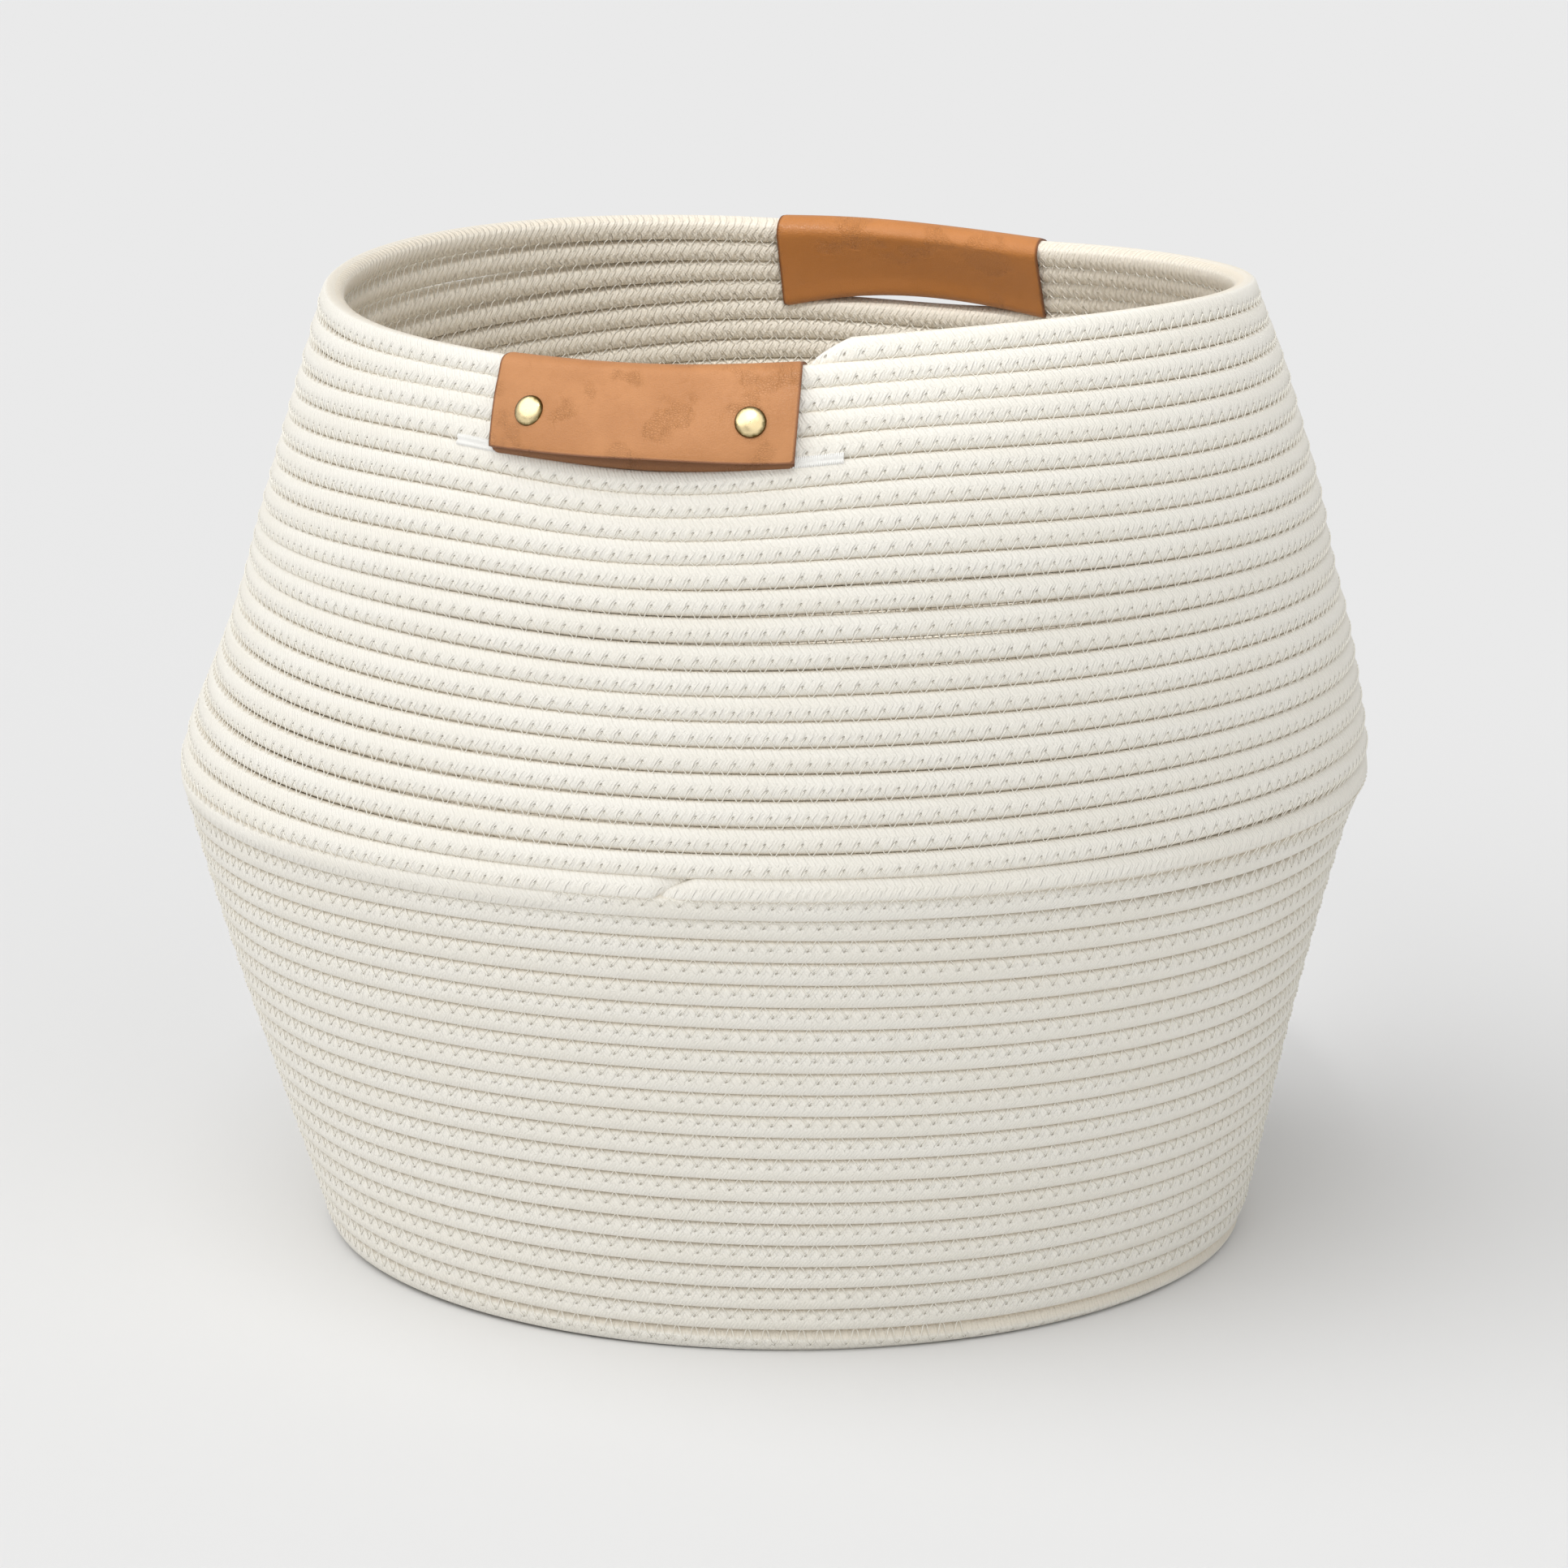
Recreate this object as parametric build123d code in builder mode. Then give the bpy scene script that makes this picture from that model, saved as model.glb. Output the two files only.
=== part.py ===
"""A round belly basket of coiled, sewn cotton rope with two leather sleeves riveted round its grips.

The rope starts at the middle of the base, flares up to the belly and leans in again to the rim.
Below the top rows a slot on each side leaves a bundle of rope that serves as a grip, and one
rectangle of leather is wrapped round each bundle and closed on the outside by two rivets.

Origin: centre of the base, on the floor.  +Z up.  The two grips face -Y (front) and +Y (back).
Wall sections are drawn as (radius, height) and revolved about Z.
"""

import math
import os

from build123d import *

# Rope, in millimetres
ROPE_PITCH = 8.0  # height of one row along the wall
WALL_DEPTH = 5.6  # through the wall from groove to groove, measured level
ROW_BULGE = 1.3  # how far a row stands out past the grooves beside it
RIM_BULGE = 1.6  # the rounded top of the last row

# Outline of the basket, measured at the grooves
BASE_RADIUS = 155.0
BASE_ROWS = 19  # turns of the flat spiral
LOWER_ROWS = 21
LOWER_FLARE = math.radians(15.5)  # outward from vertical
UPPER_ROWS = 17  # from the belly up to the slots
UPPER_LENGTH = 17.5 * ROPE_PITCH  # along the wall, belly to slots
UPPER_LEAN = math.radians(16.5)  # inward from vertical
GRIP_ROWS = 4  # rows in the bundle above each slot

# Grip slots
SLOT_LENGTH = 100.0
SLOT_END_DROP = 2.2  # height of the slot at its two ends
SLOT_DROP = 9.0  # height of the slot at its middle
SLOT_ROOF = 2.0  # how far the slot cutter starts above the slot

# Leather sleeves
LEATHER = 1.6  # thickness
SLEEVE_LENGTH = 98.0
SLEEVE_CLEARANCE = 0.3  # between leather and rope
TAIL_ROOM = 1.0  # the same on the outside, where the rivet tails lie
LAYER_GAP = 0.2  # between the two outside layers
FLAP_LIFT = 3.0  # from the slot up to the edge of the flap
RETURN_HEIGHT = 22.0  # from the slot up to the end of the layer behind the flap
OUTER_FOLD = 1.5  # fold radii
INNER_FOLD = 0.4

# Rivets
RIVET_HEIGHT = 16.0  # along the wall from the slot
RIVET_INSET = 12.0  # from each end of the sleeve
CAP_RADIUS = 5.0
CAP_EDGE = 0.5
CAP_HEIGHT = 2.4
POST_RADIUS = 1.5
POST_SOCKET = 0.6  # how far the post enters the cap
TAIL_RADIUS = 3.5
TAIL_THICKNESS = 0.7
RIVET_PLAY = 0.05

# Thread
THREAD_RADIUS = 0.45  # of the four-sided rings that stand for the sewn thread
THREAD_PLAY = 0.02
TACK_LENGTH = 14.0
TACK_WIDTH = 3.6
TACK_THICKNESS = 0.4
TACK_STAND = 1.05  # from the groove out to the back of a bar tack

# Heights and radii that follow from the rows
BELLY_HEIGHT = LOWER_ROWS * ROPE_PITCH * math.cos(LOWER_FLARE)
BELLY_RADIUS = BASE_RADIUS + LOWER_ROWS * ROPE_PITCH * math.sin(LOWER_FLARE)
SLOT_HEIGHT = BELLY_HEIGHT + UPPER_LENGTH * math.cos(UPPER_LEAN)
SLOT_RADIUS = BELLY_RADIUS - UPPER_LENGTH * math.sin(UPPER_LEAN)
GRIP_HEIGHT = GRIP_ROWS * ROPE_PITCH
RIM_HEIGHT = SLOT_HEIGHT + GRIP_HEIGHT * math.cos(UPPER_LEAN)
RIM_RADIUS = SLOT_RADIUS - GRIP_HEIGHT * math.sin(UPPER_LEAN)

# Depths counted outward from the middle of the grip bundle
GROOVE_DEPTH = WALL_DEPTH * math.cos(UPPER_LEAN) / 2
BUNDLE_DEPTH = GROOVE_DEPTH + ROW_BULGE
SLEEVE_BACK = BUNDLE_DEPTH + SLEEVE_CLEARANCE
RETURN_BACK = BUNDLE_DEPTH + TAIL_ROOM
RETURN_FACE = RETURN_BACK + LEATHER
FLAP_BACK = RETURN_FACE + LAYER_GAP
FLAP_FACE = FLAP_BACK + LEATHER

# Direction of each grip about Z, and the rivets as seen from outside: (grip, hand, side of turn)
GRIPS = {"front": -90.0, "back": 90.0}
FASTENINGS = [("front", "left", -1), ("front", "right", 1), ("back", "left", -1), ("back", "right", 1)]


def grooves(low, high, rows):
    """The groove points of a straight stretch of coil, from low to high."""
    step = ((high[0] - low[0]) / rows, (high[1] - low[1]) / rows)
    return [(low[0] + row * step[0], low[1] + row * step[1]) for row in range(rows + 1)]


def inner_face(points):
    """The same groove points on the inner face of the wall."""
    return [(radius - WALL_DEPTH, height) for radius, height in points]


def row_arcs(points, bulge):
    """One arc for each row between successive groove points, bulging to the right of their direction."""
    for start, end in zip(points, points[1:]):
        along = (Vector(*end) - Vector(*start)).normalized()
        middle = (Vector(*start) + Vector(*end)) / 2
        ThreePointArc(start, middle + bulge * Vector(along.Y, -along.X), end)


def thread_rings(points, bulge_side):
    """Ring sections lying in the grooves between rows, beside the face that bulges to that side."""
    slope = 2 * math.atan(2 * ROW_BULGE / ROPE_PITCH)
    stand = THREAD_RADIUS / math.cos(slope) + THREAD_PLAY
    for before, groove in zip(points, points[1:-1]):
        along = (Vector(*groove) - Vector(*before)).normalized()
        with Locations(Vector(*groove) + bulge_side * stand * Vector(along.Y, -along.X)):
            RegularPolygon(THREAD_RADIUS, 4)


def radial_plane(azimuth):
    """The upright plane through the Z axis with local X as the radius and local Y as the height."""
    turn = math.radians(azimuth)
    outward = (math.cos(turn), math.sin(turn), 0)
    sideways = (math.sin(turn), -math.cos(turn), 0)
    return Plane(origin=(0, 0, 0), x_dir=outward, z_dir=sideways)


def grip_point(out, up):
    """Radius and height of a point beside the grip: out from the bundle's middle, up along it."""
    middle = SLOT_RADIUS - WALL_DEPTH / 2 - up * math.sin(UPPER_LEAN)
    return (middle + out / math.cos(UPPER_LEAN), SLOT_HEIGHT + up * math.cos(UPPER_LEAN))


def grip_angle(arc):
    """The angle about Z that an arc of this length takes at the grips, in degrees."""
    return math.degrees(arc / SLOT_RADIUS)


def cut_slots():
    """Cut both slots level through the wall: straight ends with a sagging lower edge between them."""
    half = SLOT_LENGTH / 2
    roof = SLOT_HEIGHT + SLOT_ROOF
    end = SLOT_HEIGHT - SLOT_END_DROP
    with BuildSketch(Plane.XZ) as opening:
        with BuildLine():
            Polyline((-half, end), (-half, roof), (half, roof), (half, end))
            ThreePointArc((half, end), (0, SLOT_HEIGHT - SLOT_DROP), (-half, end))
        make_face()
    extrude(opening.sketch, amount=BELLY_RADIUS, both=True, mode=Mode.SUBTRACT)


def rivet_seat(grip, side):
    """The plane on the flap's face where a rivet sits, with its Z axis along the rivet."""
    azimuth = GRIPS[grip] + side * grip_angle(SLEEVE_LENGTH / 2 - RIVET_INSET)
    upright = radial_plane(azimuth)
    seat = upright.from_local_coords(grip_point(FLAP_FACE, RIVET_HEIGHT))
    outward = upright.x_dir * math.cos(UPPER_LEAN) + Vector(0, 0, math.sin(UPPER_LEAN))
    return Plane(origin=seat, x_dir=upright.z_dir, z_dir=outward)


def save(part, name):
    """Label one finished piece and write it."""
    part.label = name
    export_step(part, f"parts/{name}.step")


lower_grooves = grooves((BASE_RADIUS, 0), (BELLY_RADIUS, BELLY_HEIGHT), LOWER_ROWS)
upper_grooves = grooves((BELLY_RADIUS, BELLY_HEIGHT), (SLOT_RADIUS, SLOT_HEIGHT), UPPER_ROWS)
rim_grooves = grooves((SLOT_RADIUS, SLOT_HEIGHT), (RIM_RADIUS, RIM_HEIGHT), GRIP_ROWS)
base_corner = inner_face(lower_grooves)[0]
base_edge = inner_face(lower_grooves)[1]
base_grooves = grooves((0, base_edge[1]), base_edge, BASE_ROWS)

os.makedirs("parts", exist_ok=True)

# The flat spiral of the base: level underneath, one arc for each turn on top
with BuildPart() as base_coil:
    with BuildSketch(Plane.XZ):
        with BuildLine():
            Polyline(base_grooves[0], (0, 0), base_corner, base_edge)
            row_arcs(base_grooves, -ROW_BULGE)
        make_face()
    revolve(axis=Axis.Z)
save(base_coil.part, "base_coil")

# The flaring wall from the floor to the belly, whose first row stands against the edge of the base
with BuildPart() as lower_wall_coil:
    with BuildSketch(Plane.XZ):
        with BuildLine():
            row_arcs(lower_grooves, ROW_BULGE)
            row_arcs(inner_face(lower_grooves)[1:], -ROW_BULGE)
            Polyline(base_edge, base_corner, lower_grooves[0])
            Line(lower_grooves[-1], inner_face(lower_grooves)[-1])
        make_face()
    revolve(axis=Axis.Z)
save(lower_wall_coil.part, "lower_wall_coil")

# The wall that leans in from the belly to the slots
with BuildPart() as upper_wall_coil:
    with BuildSketch(Plane.XZ):
        with BuildLine():
            row_arcs(upper_grooves, ROW_BULGE)
            row_arcs(inner_face(upper_grooves), -ROW_BULGE)
            Line(upper_grooves[0], inner_face(upper_grooves)[0])
            Line(upper_grooves[-1], inner_face(upper_grooves)[-1])
        make_face()
    revolve(axis=Axis.Z)
    cut_slots()
save(upper_wall_coil.part, "upper_wall_coil")

# The last rows: the rim all round, and the grip bundle above each slot
with BuildPart() as rim_coil:
    with BuildSketch(Plane.XZ):
        with BuildLine():
            row_arcs(rim_grooves, ROW_BULGE)
            row_arcs(inner_face(rim_grooves), -ROW_BULGE)
            row_arcs([rim_grooves[-1], inner_face(rim_grooves)[-1]], RIM_BULGE)
            Line(rim_grooves[0], inner_face(rim_grooves)[0])
        make_face()
    revolve(axis=Axis.Z)
save(rim_coil.part, "rim_coil")

# The seams: rings of thread in the grooves of each stretch of coil
with BuildPart() as base_seam:
    with BuildSketch(Plane.XZ):
        thread_rings(base_grooves, -1)
    revolve(axis=Axis.Z)
save(base_seam.part, "base_seam")

with BuildPart() as lower_wall_seam:
    with BuildSketch(Plane.XZ):
        thread_rings(lower_grooves, 1)
        thread_rings(inner_face(lower_grooves)[1:], -1)
    revolve(axis=Axis.Z)
save(lower_wall_seam.part, "lower_wall_seam")

with BuildPart() as upper_wall_seam:
    with BuildSketch(Plane.XZ):
        thread_rings(upper_grooves, 1)
        thread_rings(inner_face(upper_grooves), -1)
    revolve(axis=Axis.Z)
    cut_slots()
save(upper_wall_seam.part, "upper_wall_seam")

with BuildPart() as rim_seam:
    with BuildSketch(Plane.XZ):
        thread_rings(rim_grooves, 1)
        thread_rings(inner_face(rim_grooves), -1)
    revolve(axis=Axis.Z)
save(rim_seam.part, "rim_seam")

# One rectangle of leather for each grip: down the outside as a flap, over the top, down the
# inside, under the bundle and up again behind the flap.  Each corner is (out, up, fold radius).
top_back = GRIP_HEIGHT + RIM_BULGE + SLEEVE_CLEARANCE
top_face = top_back + LEATHER
wrap_corners = [
    (FLAP_FACE, FLAP_LIFT, 0),
    (FLAP_FACE, RETURN_HEIGHT, OUTER_FOLD),
    (RETURN_FACE, top_face, OUTER_FOLD),
    (-SLEEVE_BACK - LEATHER, top_face, OUTER_FOLD),
    (-SLEEVE_BACK - LEATHER, -SLEEVE_CLEARANCE - LEATHER, OUTER_FOLD),
    (RETURN_FACE, -SLEEVE_CLEARANCE - LEATHER, OUTER_FOLD),
    (RETURN_FACE, RETURN_HEIGHT, 0),
    (RETURN_BACK, RETURN_HEIGHT, 0),
    (RETURN_BACK, -SLEEVE_CLEARANCE, INNER_FOLD),
    (-SLEEVE_BACK, -SLEEVE_CLEARANCE, INNER_FOLD),
    (-SLEEVE_BACK, top_back, INNER_FOLD),
    (RETURN_BACK, top_back, INNER_FOLD),
    (FLAP_BACK, RETURN_HEIGHT, OUTER_FOLD),
    (FLAP_BACK, FLAP_LIFT, 0),
]
for grip, azimuth in GRIPS.items():
    half_turn = grip_angle(SLEEVE_LENGTH / 2)
    with BuildPart() as sleeve:
        with BuildSketch(radial_plane(azimuth - half_turn)):
            with BuildLine():
                outline = [grip_point(out, up) for out, up, _ in wrap_corners]
                FilletPolyline(outline, radius=[fold for _, _, fold in wrap_corners], close=True)
            make_face()
        revolve(axis=Axis.Z, revolution_arc=2 * half_turn)
        for rivet_grip, _, side in FASTENINGS:
            if rivet_grip == grip:
                with Locations(rivet_seat(grip, side)):
                    Cylinder(POST_RADIUS + RIVET_PLAY, 2 * FLAP_FACE, mode=Mode.SUBTRACT)
    save(sleeve.part, f"{grip}_leather_sleeve")

# The rivets: a domed cap on the flap, and a post through both layers with a flat tail behind them
tail_face = RETURN_BACK - FLAP_FACE - RIVET_PLAY
tail_back = tail_face - TAIL_THICKNESS
for grip, hand, side in FASTENINGS:
    seat = rivet_seat(grip, side)
    section = Plane(origin=seat.origin, x_dir=seat.x_dir, z_dir=seat.x_dir.cross(seat.z_dir))
    rivet_axis = Axis(seat.origin, seat.z_dir)

    with BuildPart() as rivet_cap:
        with BuildSketch(section):
            with BuildLine():
                TangentArc((0, CAP_HEIGHT), (CAP_RADIUS, CAP_EDGE), tangent=(1, 0))
                Polyline((CAP_RADIUS, CAP_EDGE), (CAP_RADIUS, 0), (POST_RADIUS, 0))
                Polyline((POST_RADIUS, 0), (POST_RADIUS, POST_SOCKET), (0, POST_SOCKET), (0, CAP_HEIGHT))
            make_face()
        revolve(axis=rivet_axis)
    save(rivet_cap.part, f"{grip}_{hand}_rivet_cap")

    with BuildPart() as rivet_post:
        with BuildSketch(section):
            with BuildLine():
                Polyline((0, POST_SOCKET), (POST_RADIUS, POST_SOCKET), (POST_RADIUS, tail_face))
                Polyline((POST_RADIUS, tail_face), (TAIL_RADIUS, tail_face))
                Polyline((TAIL_RADIUS, tail_face), (TAIL_RADIUS, tail_back))
                Polyline((TAIL_RADIUS, tail_back), (0, tail_back), (0, POST_SOCKET))
            make_face()
        revolve(axis=rivet_axis)
    save(rivet_post.part, f"{grip}_{hand}_rivet_post")

# Bar tacks: dense patches of stitches on both faces of the wall at each end of a slot
for grip, hand, side in FASTENINGS:
    middle = GRIPS[grip] + side * grip_angle(SLOT_LENGTH / 2 + TACK_LENGTH / 2)
    with BuildPart() as bar_tack:
        with BuildSketch(radial_plane(middle - grip_angle(TACK_LENGTH / 2))):
            for face in (1, -1):
                near = face * (GROOVE_DEPTH + TACK_STAND)
                far = face * (GROOVE_DEPTH + TACK_STAND + TACK_THICKNESS)
                low = -TACK_WIDTH / 2
                high = TACK_WIDTH / 2
                with BuildLine():
                    patch = [(near, low), (far, low), (far, high), (near, high)]
                    Polyline([grip_point(out, up) for out, up in patch], close=True)
                make_face()
        revolve(axis=Axis.Z, revolution_arc=grip_angle(TACK_LENGTH))
    save(bar_tack.part, f"{grip}_{hand}_bar_tack")
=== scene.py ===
"""A belly basket of coiled, stitched cotton rope with two riveted leather grips.

Lengths in this script are in millimetres, and angles in radians, until a mesh is made.
An angle round the basket runs from the front (-Y) towards +X.
"""

import math

import bpy
import numpy as np
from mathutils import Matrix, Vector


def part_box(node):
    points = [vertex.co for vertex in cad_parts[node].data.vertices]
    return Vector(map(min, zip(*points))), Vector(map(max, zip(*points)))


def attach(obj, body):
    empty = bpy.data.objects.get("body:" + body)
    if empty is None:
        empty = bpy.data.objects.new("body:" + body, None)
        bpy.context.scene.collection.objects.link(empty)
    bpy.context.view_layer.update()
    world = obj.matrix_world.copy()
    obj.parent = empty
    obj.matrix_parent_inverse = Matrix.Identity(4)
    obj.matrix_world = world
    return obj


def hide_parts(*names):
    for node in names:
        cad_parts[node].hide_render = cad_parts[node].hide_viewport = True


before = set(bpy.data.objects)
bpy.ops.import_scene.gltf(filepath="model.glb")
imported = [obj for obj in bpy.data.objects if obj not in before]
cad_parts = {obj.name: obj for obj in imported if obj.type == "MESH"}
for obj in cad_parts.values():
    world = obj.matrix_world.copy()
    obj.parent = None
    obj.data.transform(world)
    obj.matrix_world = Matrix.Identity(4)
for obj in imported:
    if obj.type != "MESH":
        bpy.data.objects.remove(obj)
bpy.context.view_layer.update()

MM = 0.001
TURN = 2 * math.pi


def cad_box(node):
    low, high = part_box(node)
    return np.array(low) / MM, np.array(high) / MM


# ------------------------------------------------------------------ sizes
PITCH = 8.0  # one row of rope
ROPE_HALF_HEIGHT = 4.12  # along the wall, so that neighbouring rows press together
ROPE_HALF_DEPTH = 4.0
ROPE_SQUARENESS = 3.1  # exponent of the rope's pressed, superelliptic section
ROPE_SIDES = 14
ROPE_STEP = 2.2  # between rings of the rope's mesh
CENTRE_DEPTH = 2.7  # the rope's centre is this far in from the groove surface

LOWER_FLARE = math.radians(15.5)
UPPER_LEAN = math.radians(16.5)
FOLD_BLEND = 4.0  # half the stretch over which the wall turns at the belly fold
ROW_STAND = 0.45  # how far the CAD's widest row stands out past the fold
BELLY_RADIUS = cad_box("lower_wall_coil")[1][0] - ROW_STAND
BELLY_HEIGHT = 161.9
WALL_BOTTOM = -164.5  # along the wall from the belly fold, where the wall meets the base

HELIX_START = math.radians(16.6)  # where a groove is at its mean height
RIM_TIP = math.radians(19.6)
TOP_ROW = 21.5 * PITCH
BELLY_SPLICE = 20 * TURN + math.radians(366.8)
SPLICE_LENGTH = 13.0
SEAM_CHANGE = BELLY_SPLICE - 0.2  # the stitches' needle side changes here
BASE_TURNS = 18.6
BASE_THICKNESS_HALF = 4.0

STITCH = 5.7  # from one needle hole to the next
THREAD_RADIUS = 0.2
HOLE_LOW = -1.4  # a needle hole on the upper wall, from the middle of its row
HOLE_HIGH = 1.5  # the same on the lower wall

GRIP_LENGTH = 98.0
GRIP_REACH = 160.0  # from the basket's axis to the grips, for turning lengths into angles
GRIP_ROWS = 4
LEATHER = 1.6
GRIPS = {
    "front": {
        "angle": math.radians(0.6),
        "slot": 17.05 * PITCH,
        "sag": 8.0,
        "sag_at": math.radians(2.5),
        "crush": 0.8,
        "gap": 5.2,
        "hang": 3.0,
    },
    "back": {
        "angle": math.radians(178.5),
        "slot": 17.55 * PITCH,
        "sag": 5.6,
        "sag_at": math.radians(172),
        "crush": 0.75,
        "gap": 7.6,
        "hang": 1.4,
    },
}
SAG_WIDTH = 0.35  # angle over which a sag fades
SAG_ROWS = 17  # rows from the belly fold to where a sag is deepest
SLOT_HALF = 50.0
RIVET_AT = 35.0
RIVET_HEIGHT = 11.8

# How the soft wall strays from the true cones.  It changes over these spans of rows, counted from
# the belly fold.
FOOT = (-21, -10)
LOWER = (-21, -2)
FOLD = (-2, 2)
UPPER = (-2, 8)
SHOULDER = (8, 13)
LIP = (17, 22)
# Outward, all round
BASE_SPREAD = 1.0
TUCK = 2.0  # drawn in above the foot
FOLD_STEP = 3.0  # the upper wall stands out past the lower one
SWELL = 2.5  # the shoulder swells out
LIP_DRAW = 1.5  # the rim is drawn in
# Slipped as whole rings
BELLY_SLIP = 4.5  # to -X
RIM_SLIP = 2.5  # to +X
BASE_SLIP = 2.0  # to the back
LOWER_BOW = 3.5  # the middle of the lower wall, to the front
# Up and down
FRONT_DIP = 1.5  # the belly, at the front
FRONT_RISE = 2.0  # the upper wall, at the front
SIDE_RISE = 3.5  # the shoulder, at +X
SIDE_DROP = 1.0  # the rim, at +X
LIP_SINK = 1.5  # the rim, all round
LOWER_SADDLE = 3.0  # up at the front and back, and down at the sides
FOLD_SADDLE = -1.0  # the other way round
SHOULDER_SADDLE = 2.5
LIP_SADDLE = -2.5
LIP_TWIST = 3.0  # a saddle of the rim, turned an eighth of a turn from the others


# ------------------------------------------------------------------ the wall
def smooth(x):
    x = np.clip(x, 0, 1)
    return x * x * (3 - 2 * x)


def turned_from(angle, centre):
    """The angle from centre, between minus and plus half a turn."""
    return (angle - centre + math.pi) % TURN - math.pi


def change(s, span):
    """From 0 before a span of rows to 1 after it."""
    start, end = span
    return smooth((s / PITCH - start) / (end - start))


def stray_out(s, angle):
    """How far the soft wall stands out from the true cones."""
    level = BASE_SPREAD - TUCK * change(s, FOOT) + FOLD_STEP * change(s, FOLD)
    level = level + SWELL * change(s, SHOULDER) - LIP_DRAW * change(s, LIP)
    sideways = (BELLY_SLIP + RIM_SLIP) * change(s, UPPER) - BELLY_SLIP * change(s, LOWER)
    bow = np.sin(math.pi * np.clip(1 - s / WALL_BOTTOM, 0, 1))
    forward = LOWER_BOW * bow - BASE_SLIP * (1 - change(s, FOOT))
    return level + sideways * np.sin(angle) + forward * np.cos(angle)


def stray_up(s, angle):
    """How far the soft wall's rows have risen from their level on the true cones."""
    front = (FRONT_DIP + FRONT_RISE) * change(s, UPPER) - FRONT_DIP * change(s, LOWER)
    side = SIDE_RISE * change(s, SHOULDER) - (SIDE_RISE + SIDE_DROP) * change(s, LIP)
    saddle = LOWER_SADDLE * change(s, FOOT)
    saddle = saddle + (FOLD_SADDLE - LOWER_SADDLE) * change(s, FOLD)
    saddle = saddle + (SHOULDER_SADDLE - FOLD_SADDLE) * change(s, SHOULDER)
    saddle = saddle + (LIP_SADDLE - SHOULDER_SADDLE) * change(s, LIP)
    total = front * np.cos(angle) + side * np.sin(angle) - LIP_SINK * change(s, LIP)
    twist = LIP_TWIST * change(s, LIP)
    return total + saddle * np.cos(2 * angle) + twist * np.sin(2 * angle)


def sag(s, angle):
    """How far the rows under and at a grip have sunk."""
    total = 0 * s
    share = np.clip(s / (SAG_ROWS * PITCH), 0, 1) ** 2
    share = share * (1 - 0.6 * np.clip((s / PITCH - SAG_ROWS) / GRIP_ROWS, 0, 1))
    for grip in GRIPS.values():
        away = turned_from(angle, grip["sag_at"])
        total = total + grip["sag"] * share * np.exp(-((away / SAG_WIDTH) ** 2))
    return total


def slot_line(grip, angle):
    """The groove that opens as a grip's slot, along the wall from the belly fold."""
    return grip["slot"] - PITCH * turned_from(angle, grip["angle"]) / TURN


def slot_lens(grip, angle):
    across = turned_from(angle, grip["angle"]) * GRIP_REACH / SLOT_HALF
    return np.clip(1 - across**2, 0, None) ** 1.2


def lifted(s, angle):
    """How far the rows over a slot stand up from those under it."""
    total = 0 * s
    for grip in GRIPS.values():
        over = s - slot_line(grip, angle)
        total = total + (over > 0) * slot_lift(grip, angle, over)
    return total


def slot_lift(grip, angle, over):
    """How far the bundle of rows is raised over a slot; it is crushed a little towards the rim."""
    fade = 1 - grip["crush"] * np.clip(over / (GRIP_ROWS * PITCH), 0, 1)
    return grip["gap"] * slot_lens(grip, angle) * fade


def wall(s, angle, out=0.0, lift=None):
    """Points out from the groove surface, s up the wall from the belly fold, and the way out there."""
    lower = s <= 0
    blend = smooth(0.5 + s / (2 * FOLD_BLEND))
    lean = LOWER_FLARE * (1 - blend) - UPPER_LEAN * blend
    under = np.clip(WALL_BOTTOM - s, 0, None)  # run on the base, inwards
    along = np.maximum(s, WALL_BOTTOM)
    corner = smooth((WALL_BOTTOM - s + 3) / 6)
    faced = lean * (1 - corner) + math.pi / 2 * corner
    radius = BELLY_RADIUS + np.where(lower, math.sin(LOWER_FLARE), -math.sin(UPPER_LEAN)) * along
    height = BELLY_HEIGHT + np.where(lower, math.cos(LOWER_FLARE), math.cos(UPPER_LEAN)) * along
    foot = smooth((along - WALL_BOTTOM) / (3 * PITCH))
    height = height + stray_up(along, angle) * foot - sag(along, angle)
    height = height + (lifted(s, angle) if lift is None else lift)
    full = radius + stray_out(along, angle)
    out = np.asarray(out, float)
    edge = full - CENTRE_DEPTH * np.cos(lean)
    on_base = under > 0
    full = np.where(on_base, edge * (1 - under / (edge + 1e-9)), full + out * np.cos(lean))
    height = np.where(on_base, BASE_THICKNESS_HALF - (out + CENTRE_DEPTH), height - out * np.sin(lean))
    point = np.stack([full * np.sin(angle), -full * np.cos(angle), height], -1)
    way_out = np.stack(
        [np.cos(faced) * np.sin(angle), -np.cos(faced) * np.cos(angle), -np.sin(faced)], -1
    )
    return point, way_out


def unit(v):
    return v / np.linalg.norm(v, axis=-1, keepdims=True)


def row_height(wind):
    """The rope's centre line, along the wall, after winding down by that angle from its mean line."""
    return TOP_ROW - PITCH * (wind - HELIX_START) / TURN


def rope_point(wind, up=0.0, out=0.0):
    """A point on or in the rope, up the wall and out of it from the rope's centre line."""
    s = row_height(wind)
    step = 2e-3
    centre, way_out = wall(s, wind, -CENTRE_DEPTH)
    ahead = wall(row_height(wind + step), wind + step, -CENTRE_DEPTH)[0]
    behind = wall(row_height(wind - step), wind - step, -CENTRE_DEPTH)[0]
    run = unit(ahead - behind)
    rise = unit(np.cross(way_out, run))
    way_out = np.cross(run, rise)
    return centre + rise * np.asarray(up)[..., None] + way_out * np.asarray(out)[..., None]


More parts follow.
